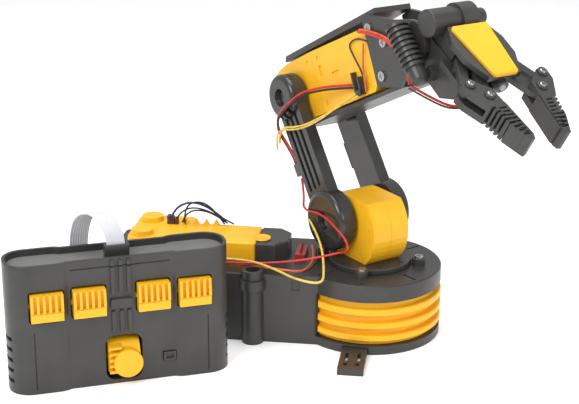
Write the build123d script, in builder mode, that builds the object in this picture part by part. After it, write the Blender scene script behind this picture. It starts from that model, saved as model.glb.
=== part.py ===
"""Five-axis robot arm kit: battery base, turntable, two-link arm, gripper and wired lever controller."""
from build123d import *
from math import atan2, cos, degrees, pi, radians, sin, tan
import os

# Driving dimensions, mm.  Origin: turntable axis on the table, +X away from the battery box, +Z up.
BASE_RADIUS = 48.0
BOX_REAR = -178.0
BOX_HALF_WIDTH = 36.5
SEAM_HEIGHT = 36.8
DECK_TOP = 48.2
DISC_TOP = 52.0
SHOULDER_HEIGHT = 77.5
SHOULDER_SETBACK = 14.3
UPPER_LENGTH = 90.5
WRIST_REACH = 140.0
WRIST_RISE = 2.0

# Pose the kit is built in, degrees above the horizontal.
YAW = -48.5
UPPER_PITCH = 125.7
FORE_PITCH = 24.9
HAND_PITCH = -32.0

# Common fits and sections.
WALL = 2.0
RUNNING_GAP = 0.3
SHELL_HALF_WIDTH = 14.2
ARM_INNER = 17.2
ARM_OUTER = 25.8
CAP_RADIUS = 20.5
ELBOW_CAP_RADIUS = 15.5
DOME_RISE = 3.6
FLUTE_DEPTH = 2.4
ARM_HALF_HEIGHT = 12.0
SHAFT_RADIUS = 3.0
BORE_RADIUS = 3.08
GEAR_TEETH = 20
SCREW_HEAD = 3.0
SCREW_SHANK = 1.22
CELL_RADIUS = 17.0
CELL_LENGTH = 60.0

# Controller, standing beside the battery box.
PAD_CORNER = (-207.2, -141.3)
PAD_YAW = 24.8
PAD_WIDTH = 139.7
PAD_HEIGHT = 84.5
PAD_DEPTH = 32.0
PAD_SPLIT = 16.0
PAD_WAIST = 2.0

UP = Vector(0, 0, 1)
FORWARD = Vector(cos(radians(YAW)), sin(radians(YAW)), 0)
NEAR = FORWARD.cross(UP)


def along(pitch):
    """Unit vector in the arm's plane at this pitch."""
    return FORWARD * cos(radians(pitch)) + UP * sin(radians(pitch))


def link(origin, pitch):
    """Plane with x along a link and z out of the arm's near side."""
    return Plane(origin=origin, x_dir=along(pitch), z_dir=NEAR)


SHOULDER = UP * SHOULDER_HEIGHT - FORWARD * SHOULDER_SETBACK
ELBOW = SHOULDER + along(UPPER_PITCH) * UPPER_LENGTH
WRIST = ELBOW + along(FORE_PITCH) * WRIST_REACH + along(FORE_PITCH + 90) * WRIST_RISE

TABLE = Plane.XY
TURN = Plane(origin=(0, 0, 0), x_dir=FORWARD, z_dir=UP)
SIDE = link(SHOULDER, 0)
UPPER = link(SHOULDER, UPPER_PITCH)
FORE = link(ELBOW, FORE_PITCH)
HAND = link(WRIST, HAND_PITCH)
PALM = Plane(origin=WRIST, x_dir=along(HAND_PITCH), z_dir=along(HAND_PITCH + 90))
PAD = Plane(origin=(*PAD_CORNER, 0), x_dir=(cos(radians(PAD_YAW)), sin(radians(PAD_YAW)), 0), z_dir=UP)
PAD_FACE = Plane(origin=(*PAD_CORNER, 0), x_dir=PAD.x_dir, z_dir=-PAD.y_dir)


# Shapes used over and over.  Each works in the part being built: plane, two heights, outline.
def plate(plane, low, high, outline, mode=Mode.ADD):
    with BuildSketch(plane.offset(low)) as shape:
        with BuildLine():
            Polyline(outline, close=True)
        make_face()
    extrude(shape.sketch, amount=high - low, mode=mode)


def disc(plane, low, high, radius, places=((0, 0),), mode=Mode.ADD):
    with BuildSketch(plane.offset(low)) as shape:
        with Locations(*places):
            Circle(radius)
    extrude(shape.sketch, amount=high - low, mode=mode)


def block(plane, low, high, centre, size, corner=0, mode=Mode.ADD):
    with BuildSketch(plane.offset(low)) as shape:
        with Locations(centre):
            if corner:
                RectangleRounded(*size, corner)
            else:
                Rectangle(*size)
    extrude(shape.sketch, amount=high - low, mode=mode)


def screws(plane, top, places, radius=SCREW_HEAD, length=6):
    """Pan heads with a cross recess, their shanks running down from the head."""
    disc(plane, top - length, top, radius / 2, places)
    disc(plane, top, top + 1.4, radius, places)
    with BuildSketch(plane.offset(top + 0.8)) as cross:
        with Locations(*places):
            Rectangle(radius * 1.2, 0.7)
            Rectangle(0.7, radius * 1.2)
    extrude(cross.sketch, amount=2, mode=Mode.SUBTRACT)


def gear(plane, low, high, teeth, radius, tooth=0.8, fill=0.95, start=0):
    """Spur gear: a root disc with straight-flanked teeth."""
    disc(plane, low, high, radius - tooth)
    pitch = 2 * radius * sin(radians(90 / teeth))
    with BuildSketch(plane.offset(low)) as crown:
        with PolarLocations(radius - tooth * 0.2, teeth, start_angle=start):
            Trapezoid(pitch * fill, tooth * 2, 72, rotation=-90)
    extrude(crown.sketch, amount=high - low)


def save(part, name):
    part.label = name
    export_step(part, f"parts/{name}.step")


os.makedirs("parts", exist_ok=True)


# ---------------------------------------------------------------- base
CELL_Y = CELL_RADIUS + 0.2
CELL_ROWS = (-CELL_Y, CELL_Y)
POST_X = -74.75
LEG_X = -5.0
POST_RADIUS = 7.3
BAND_FRONT = -31.0
BATTERY_FRONT = -47.0


def base_outline(low, high, inset=0.0, mode=Mode.ADD):
    """The round pad and the battery box behind it, as one plan."""
    with BuildSketch(TABLE.offset(low)) as plan:
        Circle(BASE_RADIUS - inset)
        with Locations((BOX_REAR / 2 + inset / 2, 0)):
            RectangleRounded(-BOX_REAR - inset, 2 * (BOX_HALF_WIDTH - inset), 3)
    extrude(plan.sketch, amount=high - low, mode=mode)


with BuildPart() as base_tray:
    base_outline(0, 5.9)
    disc(TABLE, 5.9, SEAM_HEIGHT, 42)
    block(
        TABLE, 5.9, SEAM_HEIGHT, ((BOX_REAR + BAND_FRONT) / 2, 0), (BAND_FRONT - BOX_REAR, 2 * BOX_HALF_WIDTH), 3
    )
    disc(TABLE, 0, SEAM_HEIGHT, POST_RADIUS, ((POST_X, -BOX_HALF_WIDTH), (POST_X, BOX_HALF_WIDTH)))
    battery_length = BATTERY_FRONT - BOX_REAR - WALL
    block(
        TABLE, WALL, SEAM_HEIGHT, (BATTERY_FRONT - battery_length / 2, 0), (battery_length, 2 * BOX_HALF_WIDTH - 2 * WALL), 0.8, Mode.SUBTRACT
    )
    disc(TABLE, WALL, SEAM_HEIGHT, 40, mode=Mode.SUBTRACT)
    for side in (-1, 1):
        for x in (-160, -135, -110):
            block(TABLE, 8, 30, (x, side * BOX_HALF_WIDTH), (1.2, 1.0), mode=Mode.SUBTRACT)
        block(TABLE, 0.8, 4.8, (LEG_X, side * (BASE_RADIUS - 4)), (17.4, 9), mode=Mode.SUBTRACT)
save(base_tray.part, "base_tray")

with BuildPart() as rib_band:
    disc(TABLE, 6.2, 36.4, 44.4)
    for low, high in ((9.5, 13.6), (18.1, 22.3), (27.2, 31.9)):
        disc(TABLE, low, high, 48.4)
    chamfer(rib_band.edges().filter_by(GeomType.CIRCLE).filter_by(lambda e: e.radius > 48), 0.6)
    disc(TABLE, 6.2, 36.4, 42.1, mode=Mode.SUBTRACT)
    block(TABLE, 6.2, 36.4, (BAND_FRONT - 50 + 0.1, 0), (100, 100), mode=Mode.SUBTRACT)
save(rib_band.part, "rib_band")

with BuildPart() as base_deck:
    base_outline(SEAM_HEIGHT, DECK_TOP)
    chamfer(base_deck.edges().group_by(Axis.Z)[-1], 0.8)
    posts = ((POST_X, -BOX_HALF_WIDTH), (POST_X, BOX_HALF_WIDTH))
    disc(TABLE, SEAM_HEIGHT, 51.5, POST_RADIUS, posts)
    disc(TABLE, 38.5, 45.5, POST_RADIUS + 1.5, posts)
    disc(TABLE, 46, 51.5, 4.6, posts, Mode.SUBTRACT)
    base_outline(SEAM_HEIGHT, DECK_TOP - 2.5, WALL, Mode.SUBTRACT)
    disc(TABLE, SEAM_HEIGHT, 46, 3.1, posts, Mode.SUBTRACT)
    with BuildSketch(TABLE.offset(DECK_TOP - 2.5)) as bosses:
        with PolarLocations(33, 4, start_angle=-5):
            Circle(4.5)
    extrude(bosses.sketch, amount=7.5)
    with BuildSketch(TABLE.offset(DECK_TOP - 2.5)) as boss_bores:
        with PolarLocations(33, 4, start_angle=-5):
            Circle(1.6)
    extrude(boss_bores.sketch, amount=9, mode=Mode.SUBTRACT)
    disc(TABLE, SEAM_HEIGHT, 53, 6.1, mode=Mode.SUBTRACT)
    block(TABLE, SEAM_HEIGHT, 60, (-118, 3), (64, 20.8), mode=Mode.SUBTRACT)
    with BuildSketch(TABLE.offset(DECK_TOP - 0.8)) as slits:
        with PolarLocations(39, 4, start_angle=-44):
            Rectangle(12, 1.6)
    extrude(slits.sketch, amount=2, mode=Mode.SUBTRACT)
    disc(TABLE, DECK_TOP - 1, DECK_TOP + 1, 1.4, ((-2, -43), (-2, 43)), Mode.SUBTRACT)
    for side in (-1, 1):
        block(
            TABLE, SEAM_HEIGHT + 1, DECK_TOP - 3.5, (-46, side * BOX_HALF_WIDTH), (5, 1.6), mode=Mode.SUBTRACT
        )
save(base_deck.part, "base_deck")

with BuildPart() as battery_cells:
    for y in CELL_ROWS:
        for x in (-111.6 - CELL_LENGTH, -111.0):
            body = Plane(origin=(x, y, WALL + CELL_RADIUS + 0.1), x_dir=(0, 1, 0), z_dir=(1, 0, 0))
            disc(body, 0, CELL_LENGTH - 1.8, CELL_RADIUS)
            disc(body, CELL_LENGTH - 1.8, CELL_LENGTH, 4.8)
save(battery_cells.part, "battery_cells")

with BuildPart() as stabiliser_legs:
    for side in (-1, 1):
        block(TABLE, 0.9, 4.6, (LEG_X, side * 62.5), (16.8, 36), 2)
        block(TABLE, 0, 4.6, (LEG_X, side * 78.5), (16.8, 4))
        for slot in (-4, 4):
            block(TABLE, 0.5, 5, (LEG_X + slot, side * 62), (2.2, 12), 1, Mode.SUBTRACT)
            block(TABLE, 0.5, 5, (LEG_X + slot, side * 73), (2.6, 4), 1, Mode.SUBTRACT)
save(stabiliser_legs.part, "stabiliser_legs")

with BuildPart() as base_screws:
    screws(TABLE, 46, ((POST_X, -BOX_HALF_WIDTH), (POST_X, BOX_HALF_WIDTH)), length=8)
    ring = [(33 * cos(radians(a)), 33 * sin(radians(a))) for a in (-5, 85, 175, 265)]
    screws(TABLE, DECK_TOP + 5, ring, 2.9, 7)
save(base_screws.part, "base_screws")

with BuildPart() as yaw_housing:
    block(TABLE, DECK_TOP, 61.5, (-120.7, 3), (88.6, 34), 3)
    fillet(yaw_housing.edges().group_by(Axis.Z)[-1], 1.5)
    block(TABLE, DECK_TOP, 61.2, (-145, 8.5), (40, 49), 6)
    disc(TABLE, 61, 65, 7.5, ((-155, 22), (-156, -6)))
    block(TABLE, DECK_TOP, 60, (-120.7, 3), (84.6, 22), 2, Mode.SUBTRACT)
    for index in range(4):
        peak = Plane(origin=(-130 + 7 * index, 16, 61.5), x_dir=(1, 0, 0), z_dir=(0, 1, 0))
        plate(peak, 0, 3, ((-2.5, 0), (2.5, 0), (0, -4)))
save(yaw_housing.part, "yaw_housing")

with BuildPart() as yaw_cap:
    cap_outline = ((-76.2, -13.5), (-63, -13.5), (-55.2, -6), (-55.2, 12), (-63, 19.5), (-76.2, 19.5))
    plate(TABLE, DECK_TOP, 61, cap_outline)
    chamfer(yaw_cap.edges().group_by(Axis.Z)[-1], 0.8)
    block(TABLE, DECK_TOP, 59, (-67, 3), (14, 20), mode=Mode.SUBTRACT)
save(yaw_cap.part, "yaw_cap")

MOTOR_RADIUS = 9.6
with BuildPart() as yaw_motor:
    axle = Plane(origin=(-142, 3, 50), x_dir=(0, 1, 0), z_dir=(1, 0, 0))
    disc(axle, 0, 27, MOTOR_RADIUS)
    disc(axle, 27, 31, 4)
    disc(axle, 31, 42, 1)
save(yaw_motor.part, "yaw_motor")

with BuildPart() as wire_terminal:
    block(TABLE, DECK_TOP, 52.4, (-47, 2), (7, 20), 0.8)
    with BuildSketch(TABLE.offset(52.4)) as pins:
        with Locations((-47, 2)):
            with GridLocations(0, 2.54, 1, 7):
                Rectangle(0.7, 0.7)
    extrude(pins.sketch, amount=2.6)
save(wire_terminal.part, "wire_terminal")


# ---------------------------------------------------------------- controller
PAD_MID = PAD_WIDTH / 2
LEVER_X = (PAD_MID - 46, PAD_MID - 20, PAD_MID + 20, PAD_MID + 46)
LEVER_Z = 57.5
LEVER_WIDTH = 20.0
WINDOW = 22.0
KNOB_Z = 17.6
GRIP_GROOVES = (8, 15, 22, 29, 36)


def pad_outline(low, high, inset=0.0, mode=Mode.ADD):
    """Two rounded grips joined by a thinner middle."""
    with BuildSketch(PAD.offset(low)) as plan:
        with Locations((PAD_MID, PAD_DEPTH / 2)):
            with GridLocations(PAD_WIDTH - 44, 0, 2, 1):
                RectangleRounded(44 - 2 * inset, PAD_DEPTH - 2 * inset, 14 - inset)
            Rectangle(PAD_WIDTH - 60, PAD_DEPTH - 2 * PAD_WAIST - 2 * inset)
    extrude(plan.sketch, amount=high - low, mode=mode)


def pad_shell(front):
    """Half of the hollow case, in front of or behind the parting plane."""
    pad_outline(0, PAD_HEIGHT)
    pad_outline(WALL, PAD_HEIGHT, WALL, Mode.SUBTRACT)
    away = PAD_SPLIT + 49.95 if front else PAD_SPLIT - 49.95
    block(PAD, -1, PAD_HEIGHT + 1, (PAD_MID, away), (PAD_WIDTH + 10, 100), mode=Mode.SUBTRACT)


with BuildPart() as controller_front:
    pad_shell(True)
    for x in LEVER_X:
        block(PAD_FACE, -12, 2, (x, LEVER_Z), (WINDOW, 20.6), 2, Mode.SUBTRACT)
    block(PAD_FACE, -12, 2, (PAD_MID + 0.7, KNOB_Z), (23, 30), 6, Mode.SUBTRACT)
    block(PAD_FACE, -12, 2, (PAD_MID + 29.6, 14.8), (8.6, 6.6), mode=Mode.SUBTRACT)
    for rib_x in (PAD_MID - 5, PAD_MID, PAD_MID + 5):
        block(PAD_FACE, -PAD_WAIST, -PAD_WAIST + 1.4, (rib_x, 42.5), (2.4, 14), 0.8)
        block(PAD_FACE, -PAD_WAIST, -PAD_WAIST + 1.4, (rib_x, 72), (2.4, 22), 0.8)
    block(PAD_FACE, -PAD_WAIST, -PAD_WAIST + 1.8, (PAD_MID, 54.5), (13.5, 6), 1)
    for x in (0.8, PAD_WIDTH - 0.8):
        for z in GRIP_GROOVES:
            block(PAD_FACE, -20, -6, (x, z), (3.4, 2.6), mode=Mode.SUBTRACT)
    for x in (15.5, PAD_WIDTH - 15.5):
        block(PAD_FACE, -0.7, 1, (x, 22), (0.7, 38), mode=Mode.SUBTRACT)
    block(PAD_FACE, -PAD_WAIST - 0.6, 1, (PAD_MID, 79), (62, 0.8), mode=Mode.SUBTRACT)
save(controller_front.part, "controller_front")

with BuildPart() as controller_rear:
    pad_shell(False)
    for x in (20, PAD_WIDTH - 20):
        for z in (14, 70):
            post = Plane(
                origin=PAD.from_local_coords((x, PAD_DEPTH - WALL, z)), x_dir=PAD.x_dir, z_dir=-PAD.y_dir
            )
            disc(post, 0, PAD_DEPTH - WALL - PAD_SPLIT - 0.1, 3)
    for x in (0.8, PAD_WIDTH - 0.8):
        for z in GRIP_GROOVES:
            block(PAD_FACE, -26, -12, (x, z), (3.4, 2.6), mode=Mode.SUBTRACT)
save(controller_rear.part, "controller_rear")

with BuildPart() as controller_top:
    pad_outline(78, 80.4, WALL + 0.15)
    block(PAD, 77, 81, (PAD_MID, PAD_SPLIT - 3), (12.4, 3.2), mode=Mode.SUBTRACT)
save(controller_top.part, "controller_top")

with BuildPart() as controller_board:
    block(PAD_FACE, -17.6, -16, (PAD_MID, 42), (88, 66), 2)
save(controller_board.part, "controller_board")

with BuildPart() as ribbon_clip:
    block(PAD, 80.5, 89, (PAD_MID, PAD_SPLIT - 3), (15.6, 6), 1)
    block(PAD, 74, 92, (PAD_MID, PAD_SPLIT - 3), (12.2, 1.6), mode=Mode.SUBTRACT)
save(ribbon_clip.part, "ribbon_clip")


def lever_profile(index, width):
    """Rocker cap seen from the side: vertically ribbed upper half, flat lower lip, pivot barrel behind."""
    lever = Plane(
        origin=PAD.from_local_coords((LEVER_X[index] - width / 2, 0, LEVER_Z)), x_dir=-PAD.y_dir, z_dir=PAD.x_dir
    )
    plate(lever, 0, width, ((-7, 8.8), (3, 8.8), (4, 3), (1.6, 2), (1.6, -8.8), (-7, -8.8)))
    for rib in range(6):
        left = rib * (width - 1.7) / 5
        plate(lever, left, left + 1.7, ((1.5, 2.4), (4.6, 2.4), (3.6, -8.8), (1.5, -8.8)))
    disc(lever, -0.9, width + 0.9, 2, ((-5, 0),))


for index in range(4):
    with BuildPart() as lever_part:
        lever_profile(index, LEVER_WIDTH)
    save(lever_part.part, f"lever_{index + 1}")

with BuildPart() as round_lever:
    side = Plane(
        origin=PAD.from_local_coords((PAD_MID + 0.7 - 10, 4, KNOB_Z)), x_dir=-PAD.y_dir, z_dir=PAD.x_dir
    )
    with BuildSketch(side) as barrel:
        with Locations((-8, 0)):
            Circle(12)
        with Locations((-16, 0)):
            Rectangle(16, 40, mode=Mode.SUBTRACT)
    extrude(barrel.sketch, amount=20)
    for z in range(-8, 9, 4):
        block(PAD_FACE, -6, 2.6, (PAD_MID - 5.3, KNOB_Z + z), (8, 1.6))
    disc(PAD_FACE, -4, 4.6, 9.2, ((PAD_MID + 2.4, KNOB_Z - 2.4),))
    chamfer(round_lever.edges().sort_by(Axis(PAD_FACE.origin, PAD_FACE.z_dir))[-1], 0.6)
    disc(side, -1.2, 21.2, 1.9, ((-7, 0),))
save(round_lever.part, "round_lever")

with BuildPart() as lamp_switch:
    block(PAD_FACE, -9, -1, (PAD_MID + 29.6, 14.8), (8, 6))
    block(PAD_FACE, -2.2, -1, (PAD_MID + 29.6, 14.8), (5, 3), mode=Mode.SUBTRACT)
save(lamp_switch.part, "lamp_switch")


# ---------------------------------------------------------------- turntable
def half_case(plane, near, outline, bores=(), pilots=(), depth=SHELL_HALF_WIDTH, wall=WALL):
    """Half of a gearbox case, split on the arm's centre plane, hollow inside."""
    low, high = (0.05, depth) if near else (-depth, -0.05)
    plate(plane, low, high, outline)
    with BuildSketch(plane.offset(low if near else low + wall)) as hollow:
        with BuildLine():
            Polyline(outline, close=True)
        make_face()
        offset(amount=-wall, mode=Mode.REPLACE)
    extrude(hollow.sketch, amount=high - low - wall, mode=Mode.SUBTRACT)
    for place, radius in bores:
        disc(plane, -depth - 1, depth + 1, radius, (place,), Mode.SUBTRACT)
    if pilots and not near:
        disc(plane, -depth - 1, -depth + wall, SCREW_SHANK, pilots, Mode.SUBTRACT)
    if pilots and near:
        disc(plane, depth - 0.6, depth + 1, 1.3, pilots, Mode.SUBTRACT)


def arc_points(centre, radius, start, end, steps=6):
    """Points along an arc, for the round stretches of an outline."""
    angles = [start + (end - start) * i / steps for i in range(steps + 1)]
    return [(centre[0] + radius * cos(radians(a)), centre[1] + radius * sin(radians(a))) for a in angles]


with BuildPart() as turntable:
    disc(TURN, DECK_TOP + RUNNING_GAP, DISC_TOP, 28)
    fillet(turntable.edges().group_by(Axis.Z)[-1], 0.8)
    disc(TURN, 41.5, DECK_TOP + RUNNING_GAP, 6.03)
    disc(TURN, 41.5, 45.4, 9)
    for place in ((-22, 9), (-22, -9), (22, 9), (22, -9)):
        disc(TURN, DISC_TOP - 1, DISC_TOP + 1, 1.5, (place,), Mode.SUBTRACT)
save(turntable.part, "turntable")

CASE_SCREWS = ((-30, 2), (31, -1), (23, 13), (22, -21), (-12, 12))
SHOULDER_CASE = (
    arc_points((-24, -8), 13, 100, 235)
    + [(-14, -20.6), (-8, -25.4)]
    + arc_points((8.6, -4.3), 28.4, -48, 48, 12)
    + [(8, 17.2)]
    + arc_points((0, 0), 17.2, 90, 130, 3)
)
for near in (True, False):
    with BuildPart() as shoulder_case:
        half_case(SIDE, near, SHOULDER_CASE, (((0, 0), BORE_RADIUS),), CASE_SCREWS)
        face = SHELL_HALF_WIDTH if near else -SHELL_HALF_WIDTH - 0.8
        disc(SIDE, face, face + 0.8, 8)
        disc(SIDE, face - 1, face + 2, BORE_RADIUS, mode=Mode.SUBTRACT)
    save(shoulder_case.part, "shoulder_case_near" if near else "shoulder_case_far")

with BuildPart() as shoulder_motor:
    disc(SIDE, -11.8, 8, MOTOR_RADIUS, ((-24, -7.6),))
    disc(SIDE, 8, 11, 1, ((-24, -7.6),))
save(shoulder_motor.part, "shoulder_motor")

# ---------------------------------------------------------------- upper arm
CLIP_X = 42.0


def arm_bar(near):
    """Fluted bar with a domed round cap at each end."""
    low, high = (ARM_INNER, ARM_OUTER) if near else (-ARM_OUTER, -ARM_INNER)
    ends = ((0, 0), (UPPER_LENGTH, 0))
    outer = high if near else low - DOME_RISE
    rim = UPPER.offset(outer + (DOME_RISE if near else 0))
    block(UPPER, low, high, (UPPER_LENGTH / 2, 0), (UPPER_LENGTH, 2 * ARM_HALF_HEIGHT))
    for end, radius in zip(ends, (CAP_RADIUS, ELBOW_CAP_RADIUS)):
        disc(UPPER, low, high, radius, (end,))
        disc(UPPER, outer, outer + DOME_RISE, radius, (end,))
    circles = [edge for edge in edges() if edge.geom_type == GeomType.CIRCLE]
    domes = [edge for edge in circles if abs(rim.to_local_coords(edge.center()).Z) < 0.01]
    fillet(domes, DOME_RISE - 0.1)
    flute = high - FLUTE_DEPTH if near else low - DOME_RISE
    for y in (-5.5, 0.5, 6.5):
        block(UPPER, flute, flute + FLUTE_DEPTH + DOME_RISE, (52.5, y), (59, 3.2), 1.5, Mode.SUBTRACT)
    recess = outer - 2 if near else outer
    disc(UPPER, recess, recess + DOME_RISE + 2, 6, ends, Mode.SUBTRACT)
    inner = ARM_INNER - 1.9 if near else -ARM_INNER
    disc(UPPER, inner, inner + 1.9, 9, ends)
    disc(UPPER, -30, 30, BORE_RADIUS - 0.04, ends, Mode.SUBTRACT)
    grip = high - 4.2 if near else low
    block(UPPER, grip, grip + 4.2, (CLIP_X, ARM_HALF_HEIGHT + 2.5), (9, 5), 1)


for near in (True, False):
    with BuildPart() as arm:
        arm_bar(near)
    save(arm.part, "upper_arm_near" if near else "upper_arm_far")

for centre, name, teeth, radius in ((SHOULDER, "shoulder_shaft", 20, 12.5), (ELBOW, "elbow_shaft", 14, 9)):
    with BuildPart() as shaft:
        disc(link(centre, 0), -23.5, 23.5, SHAFT_RADIUS)
        gear(link(centre, 0), -9, -4, teeth, radius)
        for facing in (1, -1):
            hub = Plane(origin=centre, x_dir=along(0), z_dir=NEAR * facing)
            screws(hub, 23.9, ((0, 0),), 5.2, 0.5)
    save(shaft.part, name)


# ---------------------------------------------------------------- forearm
ELBOW_SCREWS = ((20, 18), (20, -14))
WRIST_SCREWS = ((84, 18), (84, -12), (33, 18), (33, -13))
PLATE_SCREWS = ((101.7, 20.7), (113.4, 8.8), (103.9, -10.7))
ELBOW_CASE = (
    arc_points((-13, 3), 18, 100, 250)
    + [(-14, -19.5), (26.4, -18.6), (26.4, 23.8), (-4, 22.8)]
)
WRIST_CASE = [(26.6, -18.6), (88, -17.6), (95, -10), (95, 14), (88, 23.4), (26.6, 23.8)]
SIDE_PLATE = (
    [(96, -16), (118, -21.4), (130, -12)]
    + arc_points((WRIST_REACH, WRIST_RISE), 13.5, -115, 75, 8)
    + [(124, 20), (104, 29), (96, 27)]
)

for near in (True, False):
    side_name = "near" if near else "far"
    with BuildPart() as elbow_case:
        half_case(FORE, near, ELBOW_CASE, (((0, 0), BORE_RADIUS),), ELBOW_SCREWS)
        face = SHELL_HALF_WIDTH if near else -SHELL_HALF_WIDTH - 0.8
        disc(FORE, face, face + 0.8, 8)
        disc(FORE, face - 1, face + 2, BORE_RADIUS, mode=Mode.SUBTRACT)
    save(elbow_case.part, f"elbow_case_{side_name}")

    with BuildPart() as wrist_case:
        half_case(FORE, near, WRIST_CASE, (), WRIST_SCREWS)
        if near:
            for slot in ((50, 4), (53, -7)):
                block(FORE, SHELL_HALF_WIDTH - 0.8, SHELL_HALF_WIDTH + 1, slot, (9, 1.8), 0.8, Mode.SUBTRACT)
            block(FORE, SHELL_HALF_WIDTH - 1.2, SHELL_HALF_WIDTH + 1, (33.5, 9), (3.4, 7), 1, Mode.SUBTRACT)
    save(wrist_case.part, f"wrist_case_{side_name}")

    with BuildPart() as side_plate:
        low = 14.3 if near else -17.6
        plate(FORE, low, low + 3.3, SIDE_PLATE)
        disc(FORE, low - 1, low + 5, BORE_RADIUS, ((WRIST_REACH, WRIST_RISE),), Mode.SUBTRACT)
        if near:
            disc(FORE, low, low + 5, 1.62, PLATE_SCREWS, Mode.SUBTRACT)
    save(side_plate.part, f"side_plate_{side_name}")

with BuildPart() as elbow_motor:
    disc(FORE, -11.8, 8, MOTOR_RADIUS - 1.2, ((-17, 7),))
    disc(FORE, 8, 11, 1, ((-17, 7),))
save(elbow_motor.part, "elbow_motor")

with BuildPart() as wrist_motor:
    disc(FORE, -11.8, 8, MOTOR_RADIUS, ((42, 6),))
    disc(FORE, 8, 11, 1, ((42, 6),))
    gear(
        Plane(origin=FORE.from_local_coords((66, 2, 0)), x_dir=FORE.x_dir, z_dir=NEAR), -6, -1, GEAR_TEETH, 12
    )
    disc(FORE, -11.8, 11.8, 1.5, ((66, 2),))
save(wrist_motor.part, "wrist_drive")

with BuildPart() as upper_rail:
    plate(
        FORE, -14.2, 14.2, ((-6, 24.2), (26, 25.4), (88, 27), (95.8, 27.6), (107, 28.6), (107, 32), (-4, 28))
    )
save(upper_rail.part, "upper_rail")

with BuildPart() as lower_rail:
    plate(
        FORE, -14.2, 14.2, ((0, -24), (26, -22.9), (118, -21.6), (118, -18.4), (95, -19.2), (26, -19.8), (0, -20.4))
    )
save(lower_rail.part, "lower_rail")

with BuildPart() as forearm_screws:
    screws(FORE, 17.6, PLATE_SCREWS, 3.2, 3)
    far_face = Plane(origin=FORE.origin, x_dir=FORE.x_dir, z_dir=-FORE.z_dir)
    screws(far_face, SHELL_HALF_WIDTH, [(x, -y) for x, y in ELBOW_SCREWS + WRIST_SCREWS], 2.4, 1.2)
save(forearm_screws.part, "forearm_screws")

# ---------------------------------------------------------------- gripper
# Palm coordinates: x towards the fingertips, y towards the far side, height above the wrist axis.
LINK_LOW, LINK_HIGH = 17.0, 21.0
DRIVE_PIVOT = (48.0, 8.0)
GUIDE_PIVOT = (38.0, 15.5)
LINK_VECTOR = (24.0, 12.0)
SECTOR_RADIUS = 8.0
SECTOR_TEETH = 16
PIN_RADIUS = 1.5
PIN_BORE = 1.56
FINGER_LOW, FINGER_HIGH = 12.0, 26.0
PLATE_LOW, PLATE_HIGH = 11.5, 23.4
MOTOR_PLACE = (7.9, 22.6)
TUBE_RADIUS = 8.4
RING_RADIUS, RING_NEAR, RING_FAR = 10.2, 1.0, -11.0


def mirrored(place, side):
    return (place[0], side * place[1])


def linked(place, side):
    """The finger end of a link whose palm end is at this place."""
    return (place[0] + LINK_VECTOR[0], side * (place[1] + LINK_VECTOR[1]))


PALM_PLACES = [mirrored(p, side) for p in (DRIVE_PIVOT, GUIDE_PIVOT) for side in (1, -1)]

with BuildPart() as hand_frame:
    plate(
        HAND, -13.8, 13.8, [(-9, -7), (8, -11), (20, -12.5), (36, -13), (50, -1), (56, 11.5), (0, 11.5), (-6, 8)]
    )
    disc(HAND, -13.8, 13.8, 9)
    disc(HAND, -19.5, 17.6, SHAFT_RADIUS)
    disc(HAND, -20.5, -17.9, 5)
    plate(PALM, 8, PLATE_LOW, [(28, -19), (44, -19), (56, -10), (56, 10), (44, 19), (28, 19)])
    block(HAND, 13.8, 19, (24, -3), (6, 8))
    disc(PALM, 8, 25.8, PIN_RADIUS, PALM_PLACES)
save(hand_frame.part, "hand_frame")

with BuildPart() as hand_motor:
    disc(HAND, RING_FAR, 22, TUBE_RADIUS, (MOTOR_PLACE,))
    disc(HAND, RING_FAR, RING_NEAR, RING_RADIUS, (MOTOR_PLACE,))
    disc(HAND, -21, RING_FAR, 5.2, (MOTOR_PLACE,))
    rims = hand_motor.edges().filter_by(GeomType.CIRCLE).sort_by(Axis(HAND.origin, HAND.z_dir))
    fillet([rims[0], rims[-1]], 1)
save(hand_motor.part, "hand_motor")

with BuildPart() as hand_gearbox:
    block(HAND, -12.5, 12.5, (15, 17.5), (30, 11.9))
    plate(
        PALM, PLATE_HIGH, 27, [(17, -14), (30, -19), (44, -19), (60, -12), (60, 12), (44, 19), (30, 19), (17, 14)]
    )
    disc(HAND, -30, 30, TUBE_RADIUS + 0.05, (MOTOR_PLACE,), Mode.SUBTRACT)
    disc(HAND, RING_FAR - 0.1, RING_NEAR + 0.1, RING_RADIUS + 0.1, (MOTOR_PLACE,), Mode.SUBTRACT)
    block(HAND, -30, 30, (3, 26), (8, 10), mode=Mode.SUBTRACT)
    disc(PALM, PLATE_HIGH, 26, PIN_RADIUS + 0.02, PALM_PLACES, Mode.SUBTRACT)
save(hand_gearbox.part, "hand_gearbox")

with BuildPart() as hand_cover:
    with BuildSketch(PALM.offset(27)) as cover_plan:
        with BuildLine():
            Polyline((18.6, -14), (61, -9.1), (61, 9.1), (18.6, 14), close=True)
        make_face()
        fillet(vertices(), 2.5)
    extrude(amount=2.4)
    chamfer(hand_cover.faces().sort_by(Axis(PALM.origin, PALM.z_dir))[-1].edges(), 0.7)
save(hand_cover.part, "hand_cover")

with BuildPart() as ribbed_sleeve:
    slope = HAND.from_local_coords((1, -0.3, 0)) - HAND.origin
    core = Plane(origin=HAND.from_local_coords((-10, 6, 25.8)), x_dir=NEAR, z_dir=slope)
    disc(core, 0, 32, 5.6)
    for step in range(9):
        disc(core, 1 + 3.4 * step, 2.8 + 3.4 * step, 7.2)
    disc(core, 32, 41, 5.6)
    fillet(ribbed_sleeve.edges().sort_by(Axis(core.origin, core.z_dir))[-1], 4)
save(ribbed_sleeve.part, "ribbed_sleeve")

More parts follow.
